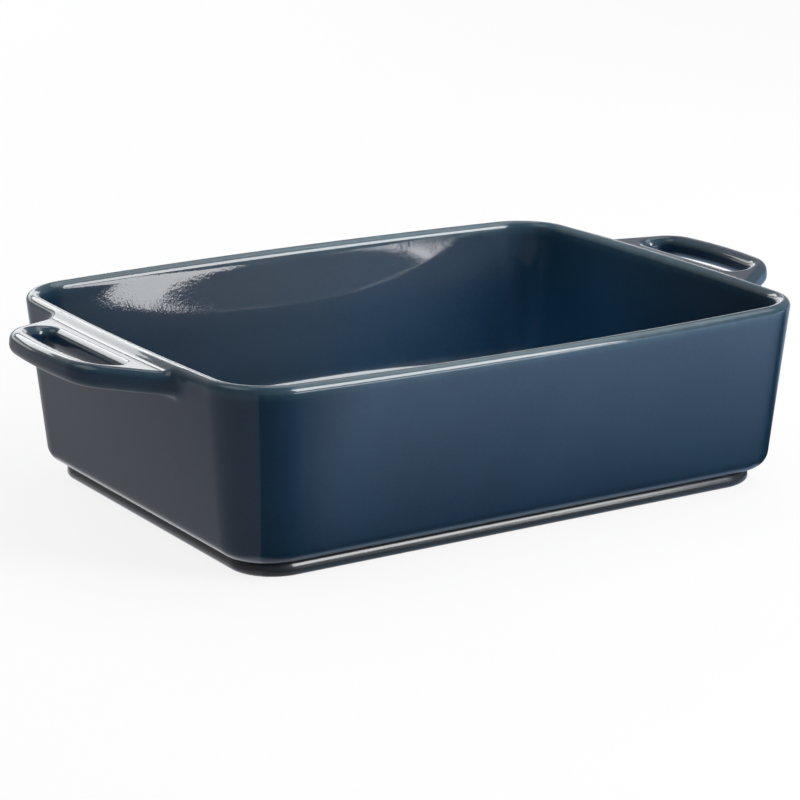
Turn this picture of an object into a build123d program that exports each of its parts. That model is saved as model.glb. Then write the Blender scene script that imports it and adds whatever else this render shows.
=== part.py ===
# Lasagna dish: a deep stoneware baker with flared walls, two loop handles and a low foot.
# Millimetres. +X runs along the long side, +Y to the back, +Z up.
# The origin is at the middle of the footprint, on the surface that the dish stands on.

import os
from math import atan2, hypot, radians, tan

from build123d import *

# Basin, measured over the outer faces at the rim
height = 90.3
rim_length = 307.0
rim_width = 227.0
rim_corner = 30.5
long_bow = 8.2
end_bow = 4.0
wall_thickness = 7.0
wall_draft_angle = 4.3
base_round = 8.0
floor_thickness = 8.0
floor_round = 15.0
rim_round_share = 0.49

# Foot ring
foot_height = 7.7
foot_inset = 6.8
foot_width = 12.0
foot_corner_gain = 4.5
foot_round_share = 0.45
recess_depth = 4.0
least_corner = 3.0

# Handles
handle_reach = 35.8
handle_drop = 3.4
handle_tilt_angle = 6.3
handle_thickness = 10.5
bar_width = 9.2
bar_round_share = 0.45
grip_length = 76.0
grip_bow = 3.0
root_length = 130.5
grip_corner = 24.0
root_flare = 14.0
root_sink = 2.0
root_depth = 30.0
slot_gap = 10.0
slot_grip_wall = 7.74
slot_root_wall = 11.46
slot_grip_corner = 12.0
slot_root_corner = 5.0
slot_side_share = 0.97

# How far a cutting solid runs past the face that it cuts
overrun = 5.0

# Places that follow from the sizes above
floor_level = recess_depth + floor_thickness
rim_round = wall_thickness * rim_round_share
foot_round = foot_height * foot_round_share
bar_round = min(bar_width, handle_thickness) * bar_round_share
root_line = rim_length / 2
bar_reach = end_bow + handle_reach
bar_end = bar_reach - grip_bow
slot_start = end_bow + slot_gap
slot_end = bar_end - bar_width
side_slope = (root_length - grip_length) / 2 / (bar_end + root_sink)
slot_root_reach = grip_length / 2 + side_slope * (bar_end - slot_start) - slot_root_wall * hypot(1, side_slope)
slot_grip_reach = grip_length / 2 + side_slope * bar_width - slot_grip_wall * hypot(1, side_slope)

# Largest rounding that the slot's slanted side leaves room for beside the rounding at its root
slot_side = hypot(slot_end - slot_start, slot_root_reach - slot_grip_reach)
slot_turn = tan(atan2(slot_end - slot_start, slot_root_reach - slot_grip_reach) / 2)
slot_grip_round = min(slot_grip_corner, (slot_side * slot_side_share - slot_root_corner / slot_turn) / slot_turn)
root_reach = root_length / 2 + root_flare


def wall_outline(level, inset, corner_gain=0):
    """Return the wall's outline at a height, set in from the outer face, with corners rounder by a gain."""
    back = (height - level) * tan(radians(wall_draft_angle)) + inset
    half_x = rim_length / 2 - back
    half_y = rim_width / 2 - back
    bow_share = (level - foot_height) / (height - foot_height)
    corners = [(-half_x, -half_y), (half_x, -half_y), (half_x, half_y), (-half_x, half_y)]
    side_middle = half_y + long_bow * bow_share
    end_middle = half_x + end_bow * bow_share
    middles = [(0, -side_middle), (end_middle, 0), (0, side_middle), (-end_middle, 0)]
    with BuildSketch(Plane.XY.offset(level)) as outline:
        with BuildLine():
            if bow_share > 0:
                for corner, middle, following in zip(corners, middles, corners[1:] + corners[:1]):
                    ThreePointArc(corner, middle, following)
            else:
                Polyline(*corners, close=True)
        make_face()
        fillet(outline.vertices(), radius=max(rim_corner - back + corner_gain, least_corner))
    return outline.sketch


# Outer form of the basin as one solid, which the cavity and the handles are cut against
with BuildPart() as form:
    loft(sections=[wall_outline(foot_height, 0), wall_outline(height, 0)])
    fillet(form.faces().sort_by(Axis.Z)[0].edges(), radius=base_round)
    fillet(form.faces().sort_by(Axis.Z)[-1].edges(), radius=rim_round)

# Room inside the dish
with BuildPart() as cavity:
    loft(sections=[wall_outline(floor_level, wall_thickness), wall_outline(height + overrun, wall_thickness)])
    fillet(cavity.faces().sort_by(Axis.Z)[0].edges(), radius=floor_round)

# Basin: floor, walls and rounded rim, with a panel that fits inside the foot ring
with BuildPart() as basin:
    add(form.part)
    extrude(wall_outline(foot_height, foot_inset + foot_width, foot_corner_gain), amount=recess_depth - foot_height)
    add(cavity.part, mode=Mode.SUBTRACT)
    rim_face = basin.faces().sort_by(Axis.Z)[-1]
    fillet(rim_face.inner_wires()[0].edges(), radius=rim_round)
basin.part.label = "basin"

# Foot ring: a rounded band under the floor, with a flat land that meets the table
with BuildPart() as foot_ring:
    extrude(wall_outline(foot_height, foot_inset, foot_corner_gain), amount=-foot_height)
    fillet(foot_ring.faces().filter_by(Axis.Z).edges(), radius=foot_round)
    extrude(wall_outline(foot_height, foot_inset + foot_width, foot_corner_gain), amount=-foot_height, mode=Mode.SUBTRACT)
    land = foot_ring.faces().filter_by(Axis.Z).sort_by(Axis.Z)[0]
    fillet(land.inner_wires()[0].edges(), radius=foot_round)
foot_ring.part.label = "foot_ring"

# Handle at the right end: a thick loop with a slot for the fingers, flared into the wall,
# which rises a little towards the bar
handle_plane = Plane((root_line, 0, height - handle_drop), x_dir=(1, 0, 0)).rotated((0, -handle_tilt_angle, 0))
with BuildPart() as right_handle:
    with BuildSketch(handle_plane) as loop_outline:
        with BuildLine():
            Polyline(
                (bar_end, grip_length / 2),
                (-root_sink, root_length / 2),
                (-root_sink, root_reach),
                (-root_depth, root_reach),
                (-root_depth, -root_reach),
                (-root_sink, -root_reach),
                (-root_sink, -root_length / 2),
                (bar_end, -grip_length / 2),
            )
            ThreePointArc((bar_end, -grip_length / 2), (bar_reach, 0), (bar_end, grip_length / 2))
        make_face()
        fillet(loop_outline.vertices().group_by(Axis.X)[1].sort_by(Axis.Y)[1:3], radius=root_flare)
        fillet(loop_outline.vertices().group_by(Axis.X)[-1], radius=grip_corner)
        with BuildLine():
            Polyline(
                (slot_end, slot_grip_reach),
                (slot_start, slot_root_reach),
                (slot_start, -slot_root_reach),
                (slot_end, -slot_grip_reach),
            )
            ThreePointArc((slot_end, -slot_grip_reach), (bar_reach - bar_width, 0), (slot_end, slot_grip_reach))
        make_face(mode=Mode.SUBTRACT)
        slot_corners = loop_outline.faces()[0].inner_wires()[0].vertices()
        fillet(slot_corners.group_by(Axis.X)[0], radius=slot_root_corner)
        slot_corners = loop_outline.faces()[0].inner_wires()[0].vertices()
        fillet(slot_corners.group_by(Axis.X)[-1], radius=slot_grip_round)
    extrude(amount=-handle_thickness)
    fillet(right_handle.faces().filter_by(handle_plane).edges(), radius=bar_round)
    add(form.part, mode=Mode.SUBTRACT)
right_handle.part.label = "right_handle"

# Handle at the left end, the mirror image of the right one
with BuildPart() as left_handle:
    mirror(right_handle.part, about=Plane.YZ, mode=Mode.ADD)
left_handle.part.label = "left_handle"

os.makedirs("parts", exist_ok=True)
export_step(basin.part, "parts/basin.step")
export_step(foot_ring.part, "parts/foot_ring.step")
export_step(right_handle.part, "parts/right_handle.step")
export_step(left_handle.part, "parts/left_handle.step")
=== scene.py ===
"""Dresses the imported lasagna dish, glazed basin, foot ring and loop handles, with its studio and camera."""

import logging
from dataclasses import dataclass
from enum import Enum
from math import atan2, cos, pi, radians, sin, sqrt, tan

import bpy
import numpy as np
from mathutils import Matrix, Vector


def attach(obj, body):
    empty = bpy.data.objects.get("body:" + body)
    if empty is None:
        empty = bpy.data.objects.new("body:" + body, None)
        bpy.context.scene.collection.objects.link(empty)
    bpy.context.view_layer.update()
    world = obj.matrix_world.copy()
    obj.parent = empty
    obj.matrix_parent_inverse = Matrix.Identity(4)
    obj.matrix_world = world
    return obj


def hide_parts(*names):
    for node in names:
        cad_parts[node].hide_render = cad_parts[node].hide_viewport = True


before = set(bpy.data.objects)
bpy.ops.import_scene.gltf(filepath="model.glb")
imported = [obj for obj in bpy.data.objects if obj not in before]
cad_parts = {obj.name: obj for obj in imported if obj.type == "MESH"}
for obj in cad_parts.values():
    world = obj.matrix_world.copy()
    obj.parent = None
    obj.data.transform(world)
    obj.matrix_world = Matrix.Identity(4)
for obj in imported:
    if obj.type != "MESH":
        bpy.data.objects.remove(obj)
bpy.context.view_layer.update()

MM = 0.001
BODY = "root"
SEEN_RAYS = ("Camera", "Glossy", "Transmission")
WHITE = (1.0, 1.0, 1.0)
BLACK = (0.0, 0.0, 0.0)

# The mesh attribute that tells how shallow the glaze lies, which also sets a painted highlight on edges and
# the rim
BREAK_AND_HIGHLIGHT_NAME = "glaze_break_and_highlight"

# A distance in metres that is never the nearest one, and the least squared slope that is divided by
FAR = 1e3
LEAST_SLOPE = 1e-6

# How much of a spot's radius is full, and where in the range of chances a spot grows full
SPOT_CORE = 0.6
SPOT_SURE = 0.8

Number = np.ndarray | float
Pair = tuple[float, float]
Colour = tuple[float, float, float]
Point = tuple[float, float, float]
Owner = bpy.types.Material | bpy.types.World

log = logging.getLogger("lasagna_dish")


class Side(Enum):
    """The end of the dish that a handle is on, with the sign of its X."""

    LEFT = -1
    RIGHT = 1


class Term:
    """A number, vector or colour in a shader, with the arithmetic that the finishes use."""

    def __init__(self, shader: "Shader", socket: bpy.types.NodeSocket) -> None:
        """Wrap an output socket of a shader."""
        self.shader = shader
        self.socket = socket

    def maths(self, operation: str, first: object, second: object = 0.0) -> "Term":
        """Return a Math node's result for one or two values."""
        return self.shader.node("ShaderNodeMath", {"operation": operation}, {0: first, 1: second})

    def __add__(self, other: object) -> "Term":
        """Return self + other."""
        return self.maths("ADD", self, other)

    def __radd__(self, other: object) -> "Term":
        """Return other + self."""
        return self.maths("ADD", other, self)

    def __sub__(self, other: object) -> "Term":
        """Return self - other."""
        return self.maths("SUBTRACT", self, other)

    def __rsub__(self, other: object) -> "Term":
        """Return other - self."""
        return self.maths("SUBTRACT", other, self)

    def __mul__(self, other: object) -> "Term":
        """Return self * other."""
        return self.maths("MULTIPLY", self, other)

    def __rmul__(self, other: object) -> "Term":
        """Return other * self."""
        return self.maths("MULTIPLY", other, self)

    def ramp(self, low: float, high: float, kind: str = "LINEAR") -> "Term":
        """Return this value's ramp from 0 at low to 1 at high, of a kind that Map Range names."""
        values = {"Value": self, "From Min": low, "From Max": high}
        return self.shader.node("ShaderNodeMapRange", {"interpolation_type": kind}, values)

    def step(self, low: float, high: float) -> "Term":
        """Return a smooth step of this value, which is 0 up to low and 1 from high."""
        return self.ramp(low, high, "SMOOTHSTEP")

    def beyond(self, half: float) -> "Term":
        """Return how far this value lies beyond a half width on either side, and 0 within it."""
        return self.maths("MAXIMUM", self.maths("ABSOLUTE", self) - half)


class Shader:
    """The node tree of a material or of the world, built by expressions."""

    def __init__(self, owner: Owner) -> None:
        """Start an empty tree.

        Args:
            owner: The material or the world.
        """
        self.owner = owner
        owner.use_nodes = True
        self.tree = owner.node_tree
        self.tree.nodes.clear()

    def node(
        self, kind: str, settings: dict | None = None, sockets: dict | None = None, out: int | str = 0
    ) -> Term:
        """Add a node.

        Args:
            kind: The node's type.
            settings: Its settings, which are set first.
            sockets: The values or links of its input sockets, by name or number.
            out: The output that is returned.

        Returns:
            The output as a term.
        """
        made = self.tree.nodes.new(kind)
        for key, value in (settings or {}).items():
            setattr(made, key, value)
        for key, value in (sockets or {}).items():
            if isinstance(value, Term):
                self.tree.links.new(value.socket, made.inputs[key])
            elif isinstance(value, tuple) and made.inputs[key].type == "RGBA":
                made.inputs[key].default_value = (*value, 1.0)
            else:
                made.inputs[key].default_value = value
        return Term(self, made.outputs[out])

    def place(self) -> Term:
        """Return the point on the surface in the dish's own frame."""
        return self.node("ShaderNodeTexCoord", out="Object")

    def along(self, axis: int) -> Term:
        """Return the place along an axis in metres: 0 is X, 1 is Y and 2 is the height above the table."""
        return self.node("ShaderNodeSeparateXYZ", sockets={0: self.place()}, out=axis)

    def attribute(self, name: str) -> Term:
        """Return a number kept on the mesh."""
        return self.node("ShaderNodeAttribute", {"attribute_name": name}, out="Fac")

    def noise(self, scale: float, detail: float = 2.0, grain: float = 0.5, stir: float = 0.0) -> Term:
        """Return a noise about 0.5, by its waves to the metre, octaves, their strength and distortion."""
        values = {"Scale": scale, "Detail": detail, "Roughness": grain, "Distortion": stir}
        return self.node("ShaderNodeTexNoise", {"noise_dimensions": "3D"}, {"Vector": self.place(), **values})

    def spots(self, scale: float, radius: float, share: float) -> Term:
        """Return sparse round spots.

        Args:
            scale: Cells to the metre.
            radius: A spot's radius as a share of a cell.
            share: The share of cells that hold a spot.

        Returns:
            1 in a spot and 0 outside it.
        """
        values = {"Vector": self.place(), "Scale": scale}
        kind = "ShaderNodeTexVoronoi"
        near, pick = (self.node(kind, {"feature": "F1"}, values, out) for out in ("Distance", "Color"))
        chance = self.node("ShaderNodeSeparateColor", sockets={0: pick}, out=0)
        return (1 - near.step(radius * SPOT_CORE, radius)) * chance.step(1 - share, 1 - share * SPOT_SURE)

    def blend(self, factor: object, first: object, second: object) -> Term:
        """Return a mix of two colours."""
        return self.node("ShaderNodeMix", {"data_type": "RGBA"}, {0: factor, 6: first, 7: second}, out=2)

    def bump(self, height: Term, distance: float, normal: Term | None = None) -> Term:
        """Return a normal, or one bumped further, by a pattern that is a distance in metres high at 1."""
        values = {"Height": height, "Distance": distance, "Strength": 1.0}
        return self.node("ShaderNodeBump", {}, values if normal is None else {**values, "Normal": normal})

    def principled(self, **sockets: object) -> Term:
        """Return a Principled surface; an underscore in a socket's name stands for a space."""
        values = {name.replace("_", " "): value for name, value in sockets.items()}
        return self.node("ShaderNodeBsdfPrincipled", {}, values)

    def emission(self, colour: Colour, strength: float, kind: str = "ShaderNodeEmission") -> Term:
        """Return an even light, or with a Background node's kind the light of the air."""
        return self.node(kind, {}, {"Color": colour, "Strength": strength})

    def mix(self, factor: Term, first: Term, second: Term) -> Term:
        """Return a mix of two surfaces."""
        return self.node("ShaderNodeMixShader", {}, {0: factor, 1: first, 2: second})

    def seen(self, camera: float, mirrored: float) -> Term:
        """Return a share for camera rays and one for glossy and transmission rays, and 0 for others."""
        rays = [self.node("ShaderNodeLightPath", out=f"Is {kind} Ray") for kind in SEEN_RAYS]
        return rays[0] * camera + (rays[1] + rays[2]) * mirrored

    def finish(self, surface: Term, output: str = "ShaderNodeOutputMaterial") -> Owner:
        """Connect the surface and return the material or the world."""
        self.tree.links.new(surface.socket, self.tree.nodes.new(output).inputs["Surface"])
        return self.owner


@dataclass(frozen=True)
class Mottle:
    """A noise pattern that fades in between two levels; its scale is in waves to the metre."""

    scale: float
    low: float = 0.3
    high: float = 0.7
    detail: float = 3.0
    grain: float = 0.5
    stir: float = 0.0

    def mask(self, shader: Shader) -> Term:
        """Return the pattern, from 0 to 1."""
        return shader.noise(self.scale, self.detail, self.grain, self.stir).step(self.low, self.high)


@dataclass(frozen=True)
class Finish:
    """A surface's look, which each kind of finish spells out."""

    name: str

    def surface(self, shader: Shader) -> Term:
        """Return the surface in a shader."""
        raise NotImplementedError

    def material(self) -> bpy.types.Material:
        """Return the material."""
        shader = Shader(bpy.data.materials.new(self.name))
        return shader.finish(self.surface(shader))


@dataclass(frozen=True)
class Glaze(Finish):
    """A glossy coloured glaze: deep where it lies thick, paler where it lies shallow over an edge, which also
    stands for a painted highlight there.
    """

    deep: Colour = (0.0029, 0.0165, 0.0375)
    lift: Colour = (0.0045, 0.0220, 0.0485)
    # Pale colour of shallow glaze on edges and the rim, partly a painted highlight
    thin_and_highlight: Colour = (0.0270, 0.0700, 0.0940)
    fleck: Colour = (0.0090, 0.0400, 0.0760)
    speck: Colour = (0.0040, 0.0060, 0.0090)
    rust: Colour = (0.0520, 0.0300, 0.0140)
    cloud: Mottle = Mottle(14.0, 0.3, 0.72, grain=0.55, stir=0.4)
    wander: Mottle = Mottle(126.0, 0.22, 0.75)
    wander_share: float = 0.45
    flecks: Mottle = Mottle(520.0, 0.2, 0.8, grain=0.7)
    fleck_share: float = 0.22
    stains: Mottle = Mottle(84.0, 0.66, 0.74, detail=4.0, grain=0.65)
    stain_share: float = 0.6
    stain_levels: Pair = (5.0 * MM, 10.0 * MM)
    polish: Mottle = Mottle(42.0, 0.3, 0.8)
    gloss: float = 0.030
    dull: float = 0.042
    index: float = 1.42
    haze: float = 0.40
    haze_index: float = 1.22
    ripple_scale: float = 26.0
    ripple_grain: float = 0.45
    ripple_height: float = 0.10 * MM
    peel_scale: float = 620.0
    peel_grain: float = 0.6
    peel_height: float = 0.014 * MM
    peel_patch: Mottle = Mottle(35.0, 0.35, 0.65, detail=2.0)
    peel_least: float = 0.25
    peel_loss: float = 0.85
    pin_scale: float = 42.0
    pin_radius: float = 0.024
    pin_share: float = 0.06
    pin_depth: float = 0.10 * MM

    def pins(self, shader: Shader) -> Term:
        """Return the mask of the few pinholes that firing leaves."""
        return shader.spots(self.pin_scale, self.pin_radius, self.pin_share)

    def colour(self, shader: Shader) -> Term:
        """Return the colour over the surface.

        Args:
            shader: The material's shader.

        Returns:
            The colour: mottled, paler on edges and the rim where the glaze lies shallow and a highlight is
                painted, with a few stains and pinholes.
        """
        body = shader.blend(self.cloud.mask(shader), self.deep, self.lift)
        mottled = shader.blend(self.flecks.mask(shader) * self.fleck_share, body, self.fleck)
        wander = (1 - self.wander_share) + self.wander_share * self.wander.mask(shader)
        # Paler on edges and the rim: shallow glaze, and a painted highlight
        broken_and_highlit = shader.blend(shader.attribute(BREAK_AND_HIGHLIGHT_NAME) * wander, mottled, self.thin_and_highlight)
        stains = self.stains.mask(shader) * (1 - shader.along(2).step(*self.stain_levels))
        stained = shader.blend(stains * self.stain_share, broken_and_highlit, self.rust)
        return shader.blend(self.pins(shader), stained, self.speck)

    def normal(self, shader: Shader) -> Term:
        """Return the bumped normal.

        Args:
            shader: The material's shader.

        Returns:
            The normal with slow ripples, orange peel and pinholes.
        """
        ripple = shader.bump(shader.noise(self.ripple_scale, grain=self.ripple_grain), self.ripple_height)
        patchy = self.peel_patch.mask(shader) * (1 - self.peel_least) + self.peel_least
        smooth = 1 - shader.attribute(BREAK_AND_HIGHLIGHT_NAME) * self.peel_loss
        skin = shader.noise(self.peel_scale, grain=self.peel_grain) * patchy * smooth
        peel = shader.bump(skin, self.peel_height, ripple)
        return shader.bump(1 - self.pins(shader), self.pin_depth, peel)

    def surface(self, shader: Shader) -> Term:
        """Return the glazed surface.

        Args:
            shader: The material's shader.

        Returns:
            A sharp gloss under a faint haze.
        """
        return shader.principled(
            Base_Color=self.colour(shader),
            Roughness=self.polish.mask(shader) * (self.dull - self.gloss) + self.gloss,
            IOR=self.index,
            Coat_Weight=1.0,
            Coat_Roughness=self.haze,
            Coat_IOR=self.haze_index,
            Normal=self.normal(shader),
        )


@dataclass(frozen=True)
class FootGlaze(Glaze):
    """The glaze of the foot, wiped off its land so that the fired clay shows."""

    deep: Colour = (0.0085, 0.0135, 0.0200)
    lift: Colour = (0.0130, 0.0190, 0.0270)
    thin_and_highlight: Colour = (0.0330, 0.0400, 0.0480)
    fleck: Colour = (0.0240, 0.0260, 0.0300)
    gloss: float = 0.15
    dull: float = 0.18
    clay: Colour = (0.47, 0.36, 0.25)
    grit: Colour = (0.27, 0.19, 0.12)
    clay_roughness: float = 0.85
    clay_grain: Mottle = Mottle(900.0, 0.35, 0.7, detail=4.0, grain=0.7)
    grain_height: float = 0.05 * MM
    wipe_level: float = 0.55 * MM
    wipe_spread: float = 0.5 * MM
    wipe_scale: float = 120.0

    def surface(self, shader: Shader) -> Term:
        """Return the foot's surface.

        Args:
            shader: The material's shader.

        Returns:
            Glaze above a wavering line near the table, and bare clay below it.
        """
        line = shader.along(2) + (shader.noise(self.wipe_scale, 3.0) - 0.5) * (self.wipe_spread * 2)
        glazed = line.step(self.wipe_level, self.wipe_level + self.wipe_spread)
        grain = self.clay_grain.mask(shader)
        bare = shader.principled(
            Base_Color=shader.blend(grain, self.grit, self.clay),
            Roughness=self.clay_roughness,
            Normal=shader.bump(grain, self.grain_height),
        )
        return shader.mix(glazed, bare, super().surface(shader))


@dataclass(frozen=True)
class Sheet(Finish):
    """The studio's pale floor, which the camera sees as white and which keeps the dish's shadow."""

    name: str = "studio_paper"
    colour: Colour = (0.86, 0.86, 0.86)
    fibre: Colour = (0.8686, 0.8686, 0.8686)
    fibres: Mottle = Mottle(30.0, detail=2.0)
    roughness: float = 0.95
    camera_share: float = 0.86
    mirrored_share: float = 0.1

    def surface(self, shader: Shader) -> Term:
        """Return the floor's surface.

        Args:
            shader: The material's shader.

        Returns:
            Paper, with a share of plain white for the camera and for mirrored rays.
        """
        paper = shader.principled(
            Base_Color=shader.blend(self.fibres.mask(shader), self.colour, self.fibre),
            Roughness=self.roughness,
            Specular_IOR_Level=0.0,
        )
        share = shader.seen(self.camera_share, self.mirrored_share)
        return shader.mix(share, paper, shader.emission(WHITE, 1.0))


@dataclass(frozen=True)
class PaintedReflectionCard(Finish):
    """A glowing card round the dish that only its gloss sees: it paints reflections into the glaze and is no
    lamp.

    In front its painted reflection grows brighter with distance, up to a strip that paints a highlight on the
    front rim. It paints a grey reflection at the left and behind, and a dark reflection beside the near
    corner. Its turns go round that corner, from straight ahead.
    """

    name: str = "painted_reflection_card"
    corner: Pair = (-123.0 * MM, -83.0 * MM)
    front: float = -106.0 * MM
    far: float = 190.0 * MM
    side_tint: Colour = (0.96, 0.97, 1.03)
    front_tint: Colour = (0.74, 0.97, 1.30)
    side_level: float = 0.38
    front_level: float = 1.85
    rear_level: float = 0.5
    foot_level: float = 0.5
    strip_level: float = 9.0
    foot_half: Pair = (140.5 * MM, 100.5 * MM)
    foot_fade: Pair = (4.0 * MM, 10.0 * MM)
    left_turn: Pair = (radians(-44), radians(-41))
    right_turn: Pair = (radians(16), radians(34))
    rear_run: Pair = (-120.0 * MM, -20.0 * MM)
    strip_run: Pair = (280.0 * MM, 360.0 * MM)
    strip_start: Pair = (radians(12), radians(15))
    strip_stop: Pair = (radians(42), radians(46))

    def by_foot(self, x: Term, y: Term) -> Term:
        """Return 1 under and beside the foot, fading to 0 round it, where the card paints a reflection on the
        base.
        """
        over = x.beyond(self.foot_half[0]) + y.beyond(self.foot_half[1])
        return 1 - over.step(*self.foot_fade)

    def surface(self, shader: Shader) -> Term:
        """Return the card's surface.

        Args:
            shader: The material's shader.

        Returns:
            Even lights, mixed by the place on the card.
        """
        x, y = shader.along(0), shader.along(1)
        ahead = self.front - y
        turn = x.maths("ARCTAN2", x - self.corner[0], self.corner[1] - y)
        right = turn.step(*self.right_turn)
        left = 1 - turn.step(*self.left_turn)
        behind = 1 - ahead.step(*self.rear_run)
        # Levels of the painted reflection: in front, at the left, behind and round the foot
        level = ahead.ramp(0.0, self.far) * self.front_level * right * (1 - behind)
        level = level + left * (1 - right) * self.side_level + behind * right * self.rear_level
        level = level + self.by_foot(x, y) * self.foot_level
        strip = ahead.step(*self.strip_run) * turn.step(*self.strip_start) * (1 - turn.step(*self.strip_stop))
        side, front = (shader.emission(tint, self.front_level) for tint in (self.side_tint, self.front_tint))
        # A dark patch that paints a dark reflected stripe by the near corner, and a strip that paints the
        # front rim's highlight
        dark, far = shader.emission(BLACK, 0.0), shader.emission(self.side_tint, self.strip_level)
        near = shader.mix(level * (1 / self.front_level), dark, shader.mix(right, side, front))
        return shader.mix(strip, near, far)


def put(name: str, data: bpy.types.ID) -> bpy.types.Object:
    """Make an object in the scene.

    Args:
        name: Its name.
        data: Its mesh, camera or lamp.

    Returns:
        The object.
    """
    made = bpy.data.objects.new(name, data)
    bpy.context.scene.collection.objects.link(made)
    return made


@dataclass(frozen=True)
class Surface:
    """A mesh's points and faces, with how shallow the glaze lies and how much highlight is painted at each
    point and, for some, the normals.
    """

    points: np.ndarray
    faces: list[tuple[int, ...]]
    breaks_and_highlights: np.ndarray
    normals: np.ndarray | None = None

    def object(self, name: str, material: bpy.types.Material) -> bpy.types.Object:
        """Make the object.

        Args:
            name: The piece's name.
            material: Its material.

        Returns:
            The object, in the scene.
        """
        mesh = bpy.data.meshes.new(name)
        mesh.from_pydata(self.points.tolist(), [], self.faces)
        mesh.shade_smooth()
        kept = mesh.attributes.new(BREAK_AND_HIGHLIGHT_NAME, "FLOAT", "POINT")
        kept.data.foreach_set("value", self.breaks_and_highlights.astype(np.float32))
        mesh.materials.append(material)
        if self.normals is not None:
            mesh.normals_split_custom_set_from_vertices(self.normals.tolist())
        return put(name, mesh)


@dataclass(frozen=True)
class WallForm:
    """The outer face of the dish: a flared rectangle with bowed sides and round corners."""

    height: float = 90.3 * MM
    half_length: float = 153.5 * MM
    half_width: float = 113.5 * MM
    corner: float = 30.5 * MM
    long_bow: float = 8.2 * MM
    end_bow: float = 4.0 * MM
    draft: float = radians(4.3)
    thickness: float = 7.0 * MM
    foot_height: float = 7.7 * MM
    least_bow: float = 0.004 * MM
    end_steps: int = 40
    corner_steps: int = 30
    long_steps: int = 56
    solve_rounds: int = 12

    @property
    def lean(self) -> float:
        """How far the wall goes out for each step up."""
        return tan(self.draft)

    @property
    def rim_radius(self) -> float:
        """Radius of the full round on the rim."""
        return self.thickness / 2 * cos(self.draft)

    @property
    def rim_level(self) -> float:
        """Height of the middle of the rim's round."""
        return self.height - self.rim_radius

    def back(self, level: Number) -> Number:
        """Return how far the wall lies behind the rim's outline at a height."""
        return (self.height - level) * self.lean

    def bow_share(self, level: Number) -> Number:
        """Return the share of its bow that the wall has at a height."""
        return (level - self.foot_height) / (self.height - self.foot_height)

    def crest(self, level: Number) -> Number:
        """Return how shallow the glaze lies on the rim at a height, which also paints a highlight on its top:
        0 beside it and 1 on top of it.
        """
        return np.clip(0.5 + 0.5 * (level - self.rim_level) / self.rim_radius, 0, 1)

    def end_arc(self, level: Number) -> tuple[Number, Number]:
        """Return the arc of the end wall.

        Args:
            level: The height, or several.

        Returns:
            The X of the arc's centre and its radius.
        """
        bow = np.maximum(self.end_bow * self.bow_share(level), self.least_bow)
        radius = ((self.half_width - self.back(level)) ** 2 + bow**2) / (2 * bow)
        return self.half_length - self.back(level) + bow - radius, radius

    def outline(self, level: float, gain: float = 0.0) -> tuple[np.ndarray, np.ndarray]:
        """Return the outer face's outline at a height.

        Args:
            level: The height.
            gain: How much rounder the corners are.

        Returns:
            The points round the dish, and their outward normals.
        """
        back, share = self.back(level), self.bow_share(level)
        half_x, half_y = self.half_length - back, self.half_width - back
        rounding = self.corner - back + gain
        end_bow, long_bow = (max(bow * share, self.least_bow) for bow in (self.end_bow, self.long_bow))
        end_radius = (half_y**2 + end_bow**2) / (2 * end_bow)
        long_radius = (half_x**2 + long_bow**2) / (2 * long_bow)
        end_centre = np.array([half_x + end_bow - end_radius, 0.0])
        long_centre = np.array([0.0, half_y + long_bow - long_radius])
        middle = np.array([half_x - rounding, half_y - rounding])
        # The middle of the corner's round lies one rounding inside both bowed sides
        for _ in range(self.solve_rounds):
            ways = np.array([middle - end_centre, middle - long_centre])
            away = np.hypot(ways[:, 0], ways[:, 1])
            miss = away - (end_radius, long_radius) + rounding
            middle = middle - np.linalg.solve(ways / away[:, None], miss)
        start = atan2(middle[1] - end_centre[1], middle[0] - end_centre[0])
        stop = atan2(middle[1] - long_centre[1], middle[0] - long_centre[0])
        runs = (
            (end_centre, end_radius, np.linspace(0, start, self.end_steps, endpoint=False)),
            (middle, rounding, np.linspace(start, stop, self.corner_steps, endpoint=False)),
            (long_centre, long_radius, np.linspace(stop, pi / 2, self.long_steps + 1)),
        )
        ways = [np.stack([np.cos(turns), np.sin(turns)], axis=1) for _, _, turns in runs]
        points = np.vstack([centre + radius * way for (centre, radius, _), way in zip(runs, ways)])
        ways = np.vstack(ways)
        for mirror in ((-1, 1), (1, -1)):
            points = np.vstack([points, (points * mirror)[::-1][1:]])
            ways = np.vstack([ways, (ways * mirror)[::-1][1:]])
        return points[:-1], ways[:-1]

    def ring(self, reach: float, level: float) -> np.ndarray:
        """Return a ring of points at a height, by its reach from the outer face at the rim's height."""
        points, ways = self.outline(level)
        return level_ring(points + ways * (self.back(level) + reach), level)


def level_ring(flat: np.ndarray, level: float) -> np.ndarray:
    """Return a flat outline as a ring of points at a height."""
    return np.column_stack([flat, np.full(len(flat), level)])


def corner_distance(out: np.ndarray, up: np.ndarray) -> np.ndarray:
    """Return the signed distance to a square corner, from the distances past its two faces."""
    return np.minimum(np.maximum(out, up), 0) + np.hypot(np.maximum(out, 0), np.maximum(up, 0))


def ease(share: Number) -> Number:
    """Return a share from 0 to 1 with a smooth start and stop."""
    return share * share * (3 - 2 * share)


def arc(centre: Pair, radius: float, start: float, stop: float, steps: int) -> list[Pair]:
    """Return points on an arc of a section from one angle to another, both ends included."""
    turns = np.linspace(start, stop, steps + 1)
    return [(centre[0] + radius * cos(turn), centre[1] + radius * sin(turn)) for turn in turns]


def between(start: Pair, stop: Pair, steps: int) -> list[Pair]:
    """Return the points strictly between two points of a section, evenly spaced."""
    out, up = stop[0] - start[0], stop[1] - start[1]
    return [(start[0] + out * share, start[1] + up * share) for share in np.linspace(0, 1, steps + 1)[1:-1]]


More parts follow.
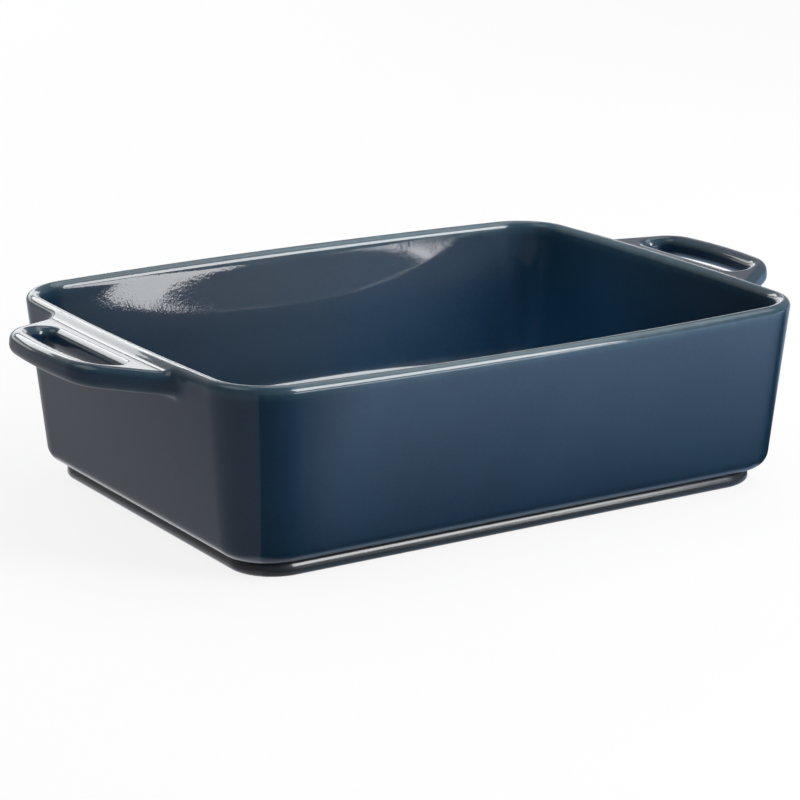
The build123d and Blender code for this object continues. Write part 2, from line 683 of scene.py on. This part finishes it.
def sweep(rings: list[np.ndarray], breaks_and_highlights: list[float], closed: bool) -> Surface:
    """Return the surface through rings of as many points.

    Args:
        rings: The rings, in order.
        breaks_and_highlights: How shallow the glaze lies on each ring, which also sets its painted highlight.
        closed: True where the last ring joins the first; else both ends are closed by a point.

    Returns:
        The surface.
    """
    count = len(rings[0])
    points = np.vstack(rings)
    thin_and_highlight = np.repeat(breaks_and_highlights, count)
    faces = []
    pairs = list(zip(range(len(rings)), range(1, len(rings)))) + ([(len(rings) - 1, 0)] if closed else [])
    for low, high in pairs:
        for k in range(count):
            after = (k + 1) % count
            faces.append((low * count + k, low * count + after, high * count + after, high * count + k))
    if not closed:
        for ring, flip in ((0, True), (len(rings) - 1, False)):
            centre = len(points)
            points = np.vstack([points, rings[ring].mean(axis=0)])
            thin_and_highlight = np.append(thin_and_highlight, breaks_and_highlights[ring])
            for k in range(count):
                edge = (ring * count + k, ring * count + (k + 1) % count)
                faces.append((*(edge[::-1] if flip else edge), centre))
    return Surface(points, faces, thin_and_highlight)


@dataclass
class Basin:
    """The basin: floor, flared walls, full-round rim and the panel under the floor."""

    form: WallForm
    glaze: Glaze
    floor_level: float = 12.0 * MM
    floor_round: float = 15.0 * MM
    base_round: float = 8.0 * MM
    panel_level: float = 4.0 * MM
    panel_inset: float = 18.8 * MM
    panel_round: float = 1.5 * MM
    foot_gain: float = 4.5 * MM
    floor_rings: int = 12
    swell: float = 0.75 * MM
    swell_start: float = 3.0 * MM
    swell_stop: float = 34.0 * MM
    fillet_steps: int = 16
    inner_steps: int = 36
    rim_steps: int = 26
    outer_steps: int = 26
    base_steps: int = 14
    panel_steps: int = 4

    def swollen(self, level: float) -> float:
        """Return how much the inner wall swells inwards at a height."""
        share = (self.form.height - level - self.swell_start) / (self.swell_stop - self.swell_start)
        return self.swell * ease(min(max(share, 0), 1))

    def section(self) -> list[Pair]:
        """Return the basin's section.

        Returns:
            Its points from the edge of the inner floor, over the rim, to the edge of the underside.
        """
        form = self.form
        sink = self.floor_round
        level = self.floor_level + sink
        inner = -form.thickness - form.back(level) - sink / cos(form.draft)
        points = arc((inner, level), sink, -pi / 2, -form.draft, self.fillet_steps)
        rim = (-form.thickness / 2 - form.back(form.rim_level), form.rim_level)
        over = arc(rim, form.rim_radius, pi - form.draft, -form.draft, self.rim_steps)
        points += between(points[-1], over[0], self.inner_steps)
        points = [(reach - self.swollen(level), level) for reach, level in points] + over
        level = form.foot_height + self.base_round
        base = (-form.back(level) - self.base_round / cos(form.draft), level)
        under = arc(base, self.base_round, -form.draft, -pi / 2, self.base_steps)
        return points + between(over[-1], under[0], self.outer_steps) + under

    def surface(self) -> Surface:
        """Return the basin's surface.

        Returns:
            The surface, from the middle of the inner floor to the middle of the panel under it.
        """
        section = self.section()
        rings = [self.form.ring(reach, level) for reach, level in section]
        # The rim's top is paled as shallow glaze and as a painted highlight
        breaks_and_highlights = [self.form.crest(level) for _, level in section]
        shares = np.linspace(0, 1, self.floor_rings + 1)[1:-1]
        floor = [rings[0] * (share, share, 1) for share in shares]
        flat, ways = self.form.outline(self.form.foot_height, self.foot_gain)
        panel = [level_ring(flat - ways * self.panel_inset, self.form.foot_height)]
        for turn in np.linspace(0, pi / 2, self.panel_steps + 1):
            inset = self.panel_inset + self.panel_round * (1 - cos(turn))
            level = self.panel_level + self.panel_round * (1 - sin(turn))
            panel.append(level_ring(flat - ways * inset, level))
        panel += [panel[-1] * (share, share, 1) for share in shares[::-1]]
        rings = floor + rings + panel
        breaks_and_highlights = [0.0] * len(floor) + breaks_and_highlights + [0.0] * len(panel)
        return sweep(rings, breaks_and_highlights, closed=False)

    def build(self) -> bpy.types.Object:
        """Build and dress the basin.

        Returns:
            The piece.
        """
        piece = self.surface().object("basin_glazed", self.glaze.material())
        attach(piece, BODY)
        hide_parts("basin")
        return piece


@dataclass
class FootRing:
    """The low rounded band that the dish stands on, with a dry land under it."""

    form: WallForm
    glaze: FootGlaze
    inset: float = 6.8 * MM
    width: float = 12.0 * MM
    round_share: float = 0.45
    slope_share: float = 0.68
    gain: float = 4.5 * MM
    # An even paling of the foot's glaze, in the attribute that also holds the painted highlight
    break_and_highlight: float = 0.25
    round_steps: int = 10
    land_stops: tuple[float, ...] = (0.25, 0.5, 0.75)
    top_stops: tuple[float, ...] = (0.35, 0.7)

    def section(self) -> list[Pair]:
        """Return the ring's closed section.

        Returns:
            Its points, each as inset and level.
        """
        height = self.form.foot_height
        rounding = height * self.round_share
        near, far = self.inset + rounding, self.inset + self.width - rounding
        points = [(far + rounding, height), (far + rounding, height / 2)]
        turns = np.linspace(0, pi / 2, self.round_steps + 1)
        points += [(far + rounding * cos(turn), rounding - rounding * sin(turn)) for turn in turns]
        points += [(far + (near - far) * share, 0.0) for share in self.land_stops]
        low = height * (1 - self.slope_share)
        points += [(near - rounding * sin(turn), low - low * cos(turn)) for turn in turns[:-1]]
        slope = height * self.slope_share
        points += [(near - rounding * cos(turn), height - slope + slope * sin(turn)) for turn in turns]
        return points + [(near + (far - near) * share, height) for share in self.top_stops]

    def build(self) -> bpy.types.Object:
        """Build and dress the ring.

        Returns:
            The piece.
        """
        flat, ways = self.form.outline(self.form.foot_height, self.gain)
        rings = [level_ring(flat - ways * inset, level) for inset, level in self.section()]
        made = sweep(rings, [self.break_and_highlight] * len(rings), closed=True)
        piece = made.object("foot_ring_glazed", self.glaze.material())
        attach(piece, BODY)
        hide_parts("foot_ring")
        return piece


@dataclass(frozen=True)
class LoopHalf:
    """Half of an outline that both sides of its axis share: bowed end, corner, slanted side and root."""

    reach: float
    bow: float
    end_half: float
    end_round: float
    root_place: float
    root_half: float
    root_round: float
    flared: bool

    def parts(self) -> tuple:
        """Work out the arcs and the line that make the half outline.

        Returns:
            The bow's centre and radius, the corner's centre, the side's start, stop, way and inward way,
            and the root's centre.
        """
        end = self.reach - self.bow
        bow_radius = (self.end_half**2 + self.bow**2) / (2 * self.bow)
        bow_centre = np.array([self.reach - bow_radius, 0.0])
        start, stop = np.array([end, self.end_half]), np.array([self.root_place, self.root_half])
        way = (stop - start) / np.hypot(*(stop - start))
        inward = np.array([-way[1], way[0]])
        base = start + inward * self.end_round - bow_centre
        along = base @ way
        travel = -along - sqrt(along**2 - base @ base + (bow_radius - self.end_round) ** 2)
        end_centre = start + inward * self.end_round + way * travel
        side_start = end_centre - inward * self.end_round
        turn = atan2(abs(way[0]), abs(way[1]))
        side_stop = stop - way * (self.root_round * tan((turn if self.flared else pi - turn) / 2))
        root_centre = side_stop - inward * (self.root_round if self.flared else -self.root_round)
        return bow_centre, bow_radius, end_centre, side_start, side_stop, way, inward, root_centre

    @staticmethod
    def by_arc(x: np.ndarray, y: np.ndarray, radius: float, turns: Pair) -> np.ndarray:
        """Return the distance to an arc from places in its sector; its radius is below 0 for a hollow."""
        turn, away = np.arctan2(y, x), np.hypot(x, y) - abs(radius)
        return np.where((turn >= turns[0]) & (turn <= turns[1]), away if radius > 0 else -away, FAR)

    def distance(self, x: np.ndarray, y: np.ndarray) -> np.ndarray:
        """Return the signed distance to the outline, less than 0 inside it.

        Args:
            x: Places along the axis.
            y: Places across it.

        Returns:
            The distances.
        """
        bow_centre, bow_radius, end_centre, side_start, side_stop, way, inward, root_centre = self.parts()
        y = np.abs(y)
        last = atan2(end_centre[1] - bow_centre[1], end_centre[0] - bow_centre[0])
        side = atan2(-inward[1], -inward[0])
        run = (x - side_start[0]) * way[0] + (y - side_start[1]) * way[1]
        off = -((x - side_start[0]) * inward[0] + (y - side_start[1]) * inward[1])
        found = [
            self.by_arc(x - bow_centre[0], y - bow_centre[1], bow_radius, (0.0, last)),
            self.by_arc(x - end_centre[0], y - end_centre[1], self.end_round, (last, side)),
            np.where((run >= 0) & (run <= np.hypot(*(side_stop - side_start))), off, FAR),
        ]
        out, over = x - root_centre[0], y - root_centre[1]
        if self.flared:
            past = corner_distance(x - self.root_place, over - self.root_round)
            found.append(self.by_arc(out, over, -self.root_round, (-pi, atan2(inward[1], inward[0]))))
            found.append(np.where(over >= 0, past, FAR))
        else:
            found.append(self.by_arc(out, over, self.root_round, (side, pi)))
            found.append(np.where(over <= 0, self.root_place - x, FAR))
        stack = np.stack(found)
        nearest = np.abs(stack).argmin(axis=0)
        return np.take_along_axis(stack, nearest[None], axis=0)[0]


@dataclass
class Handle:
    """A thick loop with a finger slot, run smoothly into the wall and the rim."""

    form: WallForm
    glaze: Glaze
    side: Side
    drop: float = 3.4 * MM
    tilt: float = radians(6.3)
    thickness: float = 10.5 * MM
    top_round: float = 4.1 * MM
    low_round: float = 4.5 * MM
    high_blend: float = 6.5 * MM
    low_blend: float = 4.5 * MM
    margin: float = 0.3 * MM
    cover: float = 0.02 * MM
    patch_half: float = 82.0 * MM
    end_fade: float = 12.0 * MM
    cell: float = 1.0 * MM
    net_low: Point = (-6.0 * MM, -86.0 * MM, 64.0 * MM)
    net_high: Point = (42.0 * MM, 86.0 * MM, 96.0 * MM)
    blend_level: float = 76.0 * MM
    blend_rise: float = 9.0 * MM
    end_blend: float = 0.7
    inner_fall: float = 3.0
    edge_gain: float = 4.0
    edge_break_and_highlight: float = 0.5
    join_width: float = 3.0 * MM
    plug: float = 1.2 * MM
    probe: float = 0.01 * MM
    trim_rounds: int = 3
    settle_rounds: int = 4
    coarse_rounds: int = 5
    fine_rounds: int = 3
    relax_share: float = 0.5
    outer: LoopHalf = LoopHalf(
        reach=39.8 * MM, bow=3.0 * MM, end_half=38.0 * MM, end_round=24.0 * MM,
        root_place=-2.0 * MM, root_half=65.25 * MM, root_round=14.0 * MM, flared=True,
    )
    slot: LoopHalf = LoopHalf(
        reach=39.8 * MM - 9.2 * MM, bow=3.0 * MM, end_half=35.0 * MM, end_round=9.8 * MM,
        root_place=14.0 * MM, root_half=40.0 * MM, root_round=5.0 * MM, flared=False,
    )

    def on_loop(self, points: np.ndarray) -> tuple[np.ndarray, np.ndarray]:
        """Place points against the loop.

        Args:
            points: The points.

        Returns:
            How far they lie outside the loop's outline, and how high over its middle plane.
        """
        x, z = points[:, 0] - self.form.half_length, points[:, 2] - self.form.height + self.drop
        along = x * cos(self.tilt) + z * sin(self.tilt)
        above = z * cos(self.tilt) - x * sin(self.tilt)
        flat = np.maximum(self.outer.distance(along, points[:, 1]), -self.slot.distance(along, points[:, 1]))
        return flat, above + self.thickness / 2

    def loop(self, points: np.ndarray) -> np.ndarray:
        """Return the signed distance to the loop alone.

        Args:
            points: The points.

        Returns:
            The distances.
        """
        flat, deep = self.on_loop(points)
        rounding = np.where(deep > 0, self.top_round, self.low_round)
        return corner_distance(flat + rounding, np.abs(deep) - self.thickness / 2 + rounding) - rounding

    def wall(self, points: np.ndarray) -> tuple[np.ndarray, np.ndarray]:
        """Return the signed distance to the end wall and the place across it.

        Args:
            points: The points.

        Returns:
            The distance, and how far out each point lies from the wall's middle.
        """
        form = self.form
        centre, radius = form.end_arc(points[:, 2])
        reach = np.hypot(points[:, 0] - centre, points[:, 1]) - radius - form.back(points[:, 2])
        rim = -form.thickness / 2 - form.back(form.rim_level)
        out, up = reach - rim, points[:, 2] - form.rim_level
        along = out * sin(form.draft) + up * cos(form.draft)
        across = out * cos(form.draft) - up * sin(form.draft)
        capsule = np.where(along > 0, np.hypot(out, up), np.abs(across)) - form.rim_radius
        return capsule, across

    def fields(self, points: np.ndarray) -> tuple[np.ndarray, np.ndarray]:
        """Return the surface's field and the zone's field.

        Args:
            points: The points.

        Returns:
            The distance to the blended surface, and a number that is over 0 where only the wall is left.
        """
        wall, across = self.wall(points)
        loop = np.maximum(self.loop(points), self.high_blend + 2 * self.margin - self.inner_fall * across)
        end = np.clip((self.patch_half - np.abs(points[:, 1])) / self.end_fade, 0, 1)
        share = ease(np.clip((points[:, 2] - self.blend_level) / self.blend_rise, 0, 1)) * ease(end)
        low = self.low_blend * (self.end_blend + (1 - self.end_blend) * end)
        blend = low + (self.high_blend - self.low_blend) * share
        # A smooth minimum of the two distances, which rounds their join
        over = np.maximum(blend - np.abs(loop - wall), 0) / blend
        joined = np.minimum(loop, wall) - over**3 * blend / 6 - self.cover
        return joined, np.maximum(loop - wall - blend - self.margin, np.abs(points[:, 1]) - self.patch_half)

    def slopes(self, points: np.ndarray) -> np.ndarray:
        """Return the slope of the surface's field, by small steps.

        Args:
            points: The points.

        Returns:
            The slope at each point.
        """
        pairs = [(points + step, points - step) for step in np.eye(3) * self.probe]
        rises = [self.fields(ahead)[0] - self.fields(behind)[0] for ahead, behind in pairs]
        return np.stack(rises, axis=1) / (2 * self.probe)

    def settle(self, points: np.ndarray, rounds: int) -> np.ndarray:
        """Move points onto the surface.

        Args:
            points: The points.
            rounds: How many times they are moved.

        Returns:
            The moved points.
        """
        points = points.copy()
        for _ in range(rounds):
            value, slope = self.fields(points)[0], self.slopes(points)
            points -= slope * (value / np.maximum((slope**2).sum(axis=1), LEAST_SLOPE))[:, None]
        return points

    def net(self) -> tuple[np.ndarray, np.ndarray]:
        """Net the surface with a grid of cells.

        Returns:
            A point for each cell that the surface crosses, and the four-sided faces between them.
        """
        low, high = (np.array([self.form.half_length, 0, 0]) + end for end in (self.net_low, self.net_high))
        count = np.round((high - low) / self.cell).astype(int) + 1
        axes = [low[k] + np.arange(count[k]) * self.cell for k in range(3)]
        grid = np.stack(np.meshgrid(*axes, indexing="ij"), axis=-1).reshape(-1, 3)
        value = self.fields(grid)[0].reshape(count)
        inside = value < 0
        cells = count - 1
        # Each cell's point is the mean of the places where its edges cross the surface
        total, hits = np.zeros((*cells, 3)), np.zeros(cells)
        corners = [(a, b, c) for a in (0, 1) for b in (0, 1) for c in (0, 1)]
        for one, axis in [(corner, axis) for corner in corners for axis in range(3) if not corner[axis]]:
            two = tuple(v + (k == axis) for k, v in enumerate(one))
            cut = [tuple(slice(v, v + n) for v, n in zip(end, cells)) for end in (one, two)]
            first, second = value[cut[0]], value[cut[1]]
            crossed = (first < 0) != (second < 0)
            place = np.zeros((*cells, 3)) + np.array(one)
            place[..., axis] += np.where(crossed, first / np.where(crossed, first - second, 1), 0)
            total += place * crossed[..., None]
            hits += crossed
        used = hits > 0
        number = np.full(cells, -1)
        number[used] = np.arange(used.sum())
        index = np.argwhere(used)
        points = low + (index + total[used] / hits[used][:, None]) * self.cell
        # Each crossed edge of the grid gets a face through the four cells round it
        faces = []
        for axis in range(3):
            across = [k for k in range(3) if k != axis]
            ahead = [slice(1, n - 1) for n in count]
            ahead[axis] = slice(0, count[axis] - 1)
            after = list(ahead)
            after[axis] = slice(1, count[axis])
            first, second = inside[tuple(ahead)], inside[tuple(after)]
            for flip, mask in ((False, first & ~second), (True, ~first & second)):
                around = []
                for step in ((0, 0), (1, 0), (1, 1), (0, 1)):
                    at = np.argwhere(mask)
                    at[:, across] += step
                    around.append(number[tuple(at.T)])
                quad = np.stack(around, axis=1)
                faces.append(quad[:, ::-1] if flip != (axis == 1) else quad)
        return points, np.vstack(faces)

    @staticmethod
    def edges_of(faces: np.ndarray) -> np.ndarray:
        """Return the edges of four-sided faces, in the faces' own turn."""
        return np.vstack([faces[:, [k, (k + 1) % 4]] for k in range(4)])

    @staticmethod
    def rim_of(faces: np.ndarray) -> tuple[np.ndarray, list[tuple[int, int]]]:
        """Return the points and the edges on the border of a patch.

        Args:
            faces: The patch's four-sided faces.

        Returns:
            The numbers of the border's points, and its edges in the faces' own turn.
        """
        there = {tuple(edge) for edge in Handle.edges_of(faces).tolist()}
        border = sorted(edge for edge in there if edge[::-1] not in there)
        return np.unique(np.array(border)), border

    @staticmethod
    def compact(points: np.ndarray, faces: np.ndarray) -> tuple[np.ndarray, np.ndarray]:
        """Return the patch with only the points that its faces use."""
        used, back = np.unique(faces, return_inverse=True)
        return points[used], back.reshape(faces.shape)

    @staticmethod
    def halve(points: np.ndarray, faces: np.ndarray) -> tuple[np.ndarray, np.ndarray]:
        """Cut each face of a patch into four.

        Args:
            points: The patch's points.
            faces: Its faces.

        Returns:
            The finer patch's points and faces.
        """
        edges = np.sort(Handle.edges_of(faces), axis=1)
        unique, back = np.unique(edges, axis=0, return_inverse=True)
        back = back.reshape(4, len(faces)) + len(points)
        middle = np.arange(len(faces)) + len(points) + len(unique)
        more = np.vstack([points, points[unique].mean(axis=1), points[faces].mean(axis=1)])
        cut = [np.stack([faces[:, k], back[k], middle, back[k - 1]], axis=1) for k in range(4)]
        return more, np.vstack(cut)

    def relax(self, points: np.ndarray, faces: np.ndarray, rounds: int) -> np.ndarray:
        """Even out the points along the surface; those on its border stay in place.

        Args:
            points: The patch's points.
            faces: Its faces.
            rounds: How many times.

        Returns:
            The moved points.
        """
        rim, edges = self.rim_of(faces)[0], self.edges_of(faces)
        for _ in range(rounds):
            total, hits = np.zeros_like(points), np.zeros(len(points))
            np.add.at(total, edges[:, 0], points[edges[:, 1]])
            np.add.at(hits, edges[:, 0], 1)
            moved = total / np.maximum(hits, 1)[:, None]
            moved[rim] = points[rim]
            points = self.settle(points + self.relax_share * (moved - points), 1)
        return points

    def patch(self) -> tuple[np.ndarray, np.ndarray]:
        """Return the patch of the loop and its run-out on the wall.

        Returns:
            Its points, evened out and settled on the surface, and its faces.
        """
        points, faces = self.net()
        keep = (self.fields(points)[1] < 0) & (self.wall(points)[1] > 0)
        points, faces = self.compact(points, faces[keep[faces].all(axis=1)])
        for _ in range(self.trim_rounds):
            starts = np.bincount([edge[0] for edge in self.rim_of(faces)[1]], minlength=len(points))
            points, faces = self.compact(points, faces[~(starts > 1)[faces].any(axis=1)])
        points = self.relax(self.settle(points, self.settle_rounds), faces, self.coarse_rounds)
        points, faces = self.halve(points, faces)
        return self.relax(points, faces, self.fine_rounds), faces

    def break_and_highlight(self, points: np.ndarray) -> np.ndarray:
        """Return how shallow the glaze lies, which also paints a highlight on the loop's edges and the rim.

        Args:
            points: The points.

        Returns:
            The value at each point: most where the loop's edges turn, and on the rim, as shallow glaze and a
                painted highlight.
        """
        flat, deep = self.on_loop(points)
        out = np.clip((flat + self.top_round) / self.top_round, 0, 1)
        up = np.clip((np.abs(deep) - self.thickness / 2 + self.top_round) / self.top_round, 0, 1)
        # Paler where the loop's edges turn: shallow glaze, and a painted highlight
        turned = np.clip(self.edge_gain * out * out * up * up, 0, 1) * self.edge_break_and_highlight
        near = np.clip(1 - self.wall(points)[0] / self.join_width, 0, 1)
        return np.maximum(turned * (1 - near), self.form.crest(points[:, 2]) * near)

    def surface(self) -> Surface:
        """Return the handle's surface.

        Returns:
            The closed surface, with its plug inside the wall.
        """
        points, faces = self.patch()
        slope = self.slopes(points)
        normals = slope / np.linalg.norm(slope, axis=1)[:, None]
        thin_and_highlight = self.break_and_highlight(points)
        rim, border = self.rim_of(faces)
        after = dict(border)
        order = [int(rim[0])]
        while after[order[-1]] != order[0]:
            order.append(after[order[-1]])
        ring = np.array(order)
        base = len(points)
        inner = points[ring] - normals[ring] * self.plug
        middle = inner.mean(axis=0)
        points = np.vstack([points, inner, middle])
        normals = np.vstack([normals, -normals[ring], -normals[ring].mean(axis=0)])
        thin_and_highlight = np.append(thin_and_highlight, np.zeros(len(ring) + 1))
        every = [tuple(face) for face in faces.tolist()]
        for k, start in enumerate(order):
            stop, one, two = order[(k + 1) % len(order)], base + k, base + (k + 1) % len(order)
            every.append((stop, start, one, two))
            every.append((two, one, base + len(order)))
        if self.side is Side.LEFT:
            points, normals = points * (-1, 1, 1), normals * (-1, 1, 1)
            every = [face[::-1] for face in every]
        return Surface(points, every, thin_and_highlight, normals)

    def build(self) -> bpy.types.Object:
        """Build and dress the handle.

        Returns:
            The piece.
        """
        word = self.side.name.lower()
        piece = self.surface().object(f"{word}_handle_glazed", self.glaze.material())
        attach(piece, BODY)
        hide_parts(f"{word}_handle")
        return piece


@dataclass(frozen=True)
class Lamp:
    """A soft rectangular lamp that faces the dish.

    Its azimuth and elevation are degrees, as the camera's. A power of 1 is white. It can be kept out of the
    gloss or of the diffuse light, be gridded by a narrow spread, and be moved aside with what it faces.
    """

    name: str
    azimuth: float
    elevation: float
    away: float
    size: Pair
    power: float
    in_gloss: bool = True
    in_diffuse: bool = True
    spread: float = pi
    aside: Point = (0.0, 0.0, 0.0)


@dataclass
class Studio:
    """The floor, the soft lights and the camera at the photograph's angle."""

    azimuth: float = -32.2
    elevation: float = 15.35
    distance: float = 1370.5 * MM
    aim: Point = (0.0, 0.0, 44.8 * MM)
    lens: float = 128.77
    shift: Pair = (-0.0082, -0.0174)
    clip: Pair = (0.01, 100.0)
    floor_half: float = 6.0
    floor_level: float = -0.2 * MM
    card_half: float = 2.4
    card_level: float = 0.4 * MM
    air: float = 0.2
    air_tint: Colour = (0.95, 0.975, 1.0)
    mirrored_share: float = 0.1
    lamps: tuple[Lamp, ...] = (
        Lamp("tall_box", 25.9, 28.0, 1.8, (0.80, 1.05), 16.0, in_diffuse=False),
        Lamp("soft_box", 30.5, 27.0, 1.8, (0.50, 1.00), 15.0, in_gloss=False),
        Lamp("low_box", 33.8, 4.0, 1.5, (0.165, 0.14), 13.0),
        Lamp("key_box", 62.0, 50.0, 2.0, (1.3, 1.2), 2.2),
        Lamp("back_low_box", 172.0, 12.0, 2.2, (3.3, 0.40), 1.9),
        Lamp("back_high_box", 180.0, 27.0, 2.2, (1.5, 0.42), 5.0),
        Lamp("top_box", 120.0, 62.0, 1.8, (1.4, 1.1), 1.8),
        Lamp("left_box", -110.0, 58.0, 1.8, (1.2, 0.9), 1.5),
        Lamp(
            "inside_box", -45.0, 58.0, 0.8, (0.12, 0.12), 2.3,
            in_gloss=False, spread=radians(13), aside=(70.0 * MM, 48.0 * MM, 8.0 * MM),
        ),
    )

    def facing(
        self, name: str, data: bpy.types.ID, azimuth: float, elevation: float, away: float
    ) -> bpy.types.Object:
        """Put a camera or a lamp where it faces the dish.

        Args:
            name: The object's name.
            data: The camera or the lamp.
            azimuth: Its direction round the dish, in degrees from the front.
            elevation: Its direction above the horizon, in degrees.
            away: Its distance.

        Returns:
            The object, in the scene.
        """
        a, e = radians(azimuth), radians(elevation)
        back = Vector((sin(a) * cos(e), -cos(a) * cos(e), sin(e)))
        made = put(name, data)
        made.location = Vector(self.aim) + back * away
        made.rotation_mode = "QUATERNION"
        made.rotation_quaternion = (-back).to_track_quat("-Z", "Y")
        return made

    def camera(self) -> None:
        """Add the camera."""
        data = bpy.data.cameras.new("camera")
        data.lens = self.lens
        data.shift_x, data.shift_y = self.shift
        data.clip_start, data.clip_end = self.clip
        made = self.facing("camera", data, self.azimuth, self.elevation, self.distance)
        bpy.context.scene.camera = made

    def light(self, lamp: Lamp) -> None:
        """Add a lamp.

        Args:
            lamp: What the lamp is.
        """
        data = bpy.data.lights.new(lamp.name, "AREA")
        data.shape = "RECTANGLE"
        data.size, data.size_y = lamp.size
        data.energy = lamp.power * pi * lamp.size[0] * lamp.size[1]
        data.spread = lamp.spread
        made = self.facing(lamp.name, data, lamp.azimuth, lamp.elevation, lamp.away)
        made.location += Vector(lamp.aside)
        made.visible_glossy = lamp.in_gloss
        made.visible_diffuse = lamp.in_diffuse

    def lay(self, name: str, half: float, level: float, material: bpy.types.Material) -> bpy.types.Object:
        """Lay a square under the dish.

        Args:
            name: The object's name.
            half: Half of the square's side.
            level: Its height.
            material: Its material.

        Returns:
            The object, in the scene.
        """
        corners = np.array([(x * half, y * half, level) for x, y in ((-1, -1), (1, -1), (1, 1), (-1, 1))])
        made = Surface(corners, [(0, 1, 2, 3)], np.zeros(len(corners))).object(name, material)
        return made

    def world(self) -> None:
        """Set the air: white to the camera, with a plain grey light from all round."""
        shader = Shader(bpy.data.worlds.new("studio_air"))
        soft = shader.emission(self.air_tint, self.air, "ShaderNodeBackground")
        white = shader.emission(WHITE, 1.0, "ShaderNodeBackground")
        mixed = shader.mix(shader.seen(1.0, self.mirrored_share), soft, white)
        bpy.context.scene.world = shader.finish(mixed, "ShaderNodeOutputWorld")

    def build(self) -> None:
        """Build the whole studio."""
        bpy.context.scene.view_settings.view_transform = "Standard"
        self.camera()
        self.lay("floor", self.floor_half, self.floor_level, Sheet().material())
        # A glowing card that only gloss sees, which paints reflections into the glaze
        card = self.lay("painted_reflection_card", self.card_half, self.card_level, PaintedReflectionCard().material())
        for ray in ("camera", "diffuse", "transmission", "volume_scatter", "shadow"):
            setattr(card, f"visible_{ray}", False)
        self.world()
        for lamp in self.lamps:
            self.light(lamp)


def main() -> None:
    """Build the dish and its studio in order."""
    logging.basicConfig(level=logging.INFO, format="%(name)s: %(message)s")
    form = WallForm()
    glaze = Glaze("petrol_glaze")
    parts = (
        Basin(form, glaze),
        FootRing(form, FootGlaze("petrol_foot_glaze")),
        Handle(form, glaze, Side.LEFT),
        Handle(form, glaze, Side.RIGHT),
    )
    for part in parts:
        piece = part.build()
        log.info("%s: %d faces", piece.name, len(piece.data.polygons))
    Studio().build()
    log.info("studio built and sizes kept")


if __name__ == "__main__":
    main()
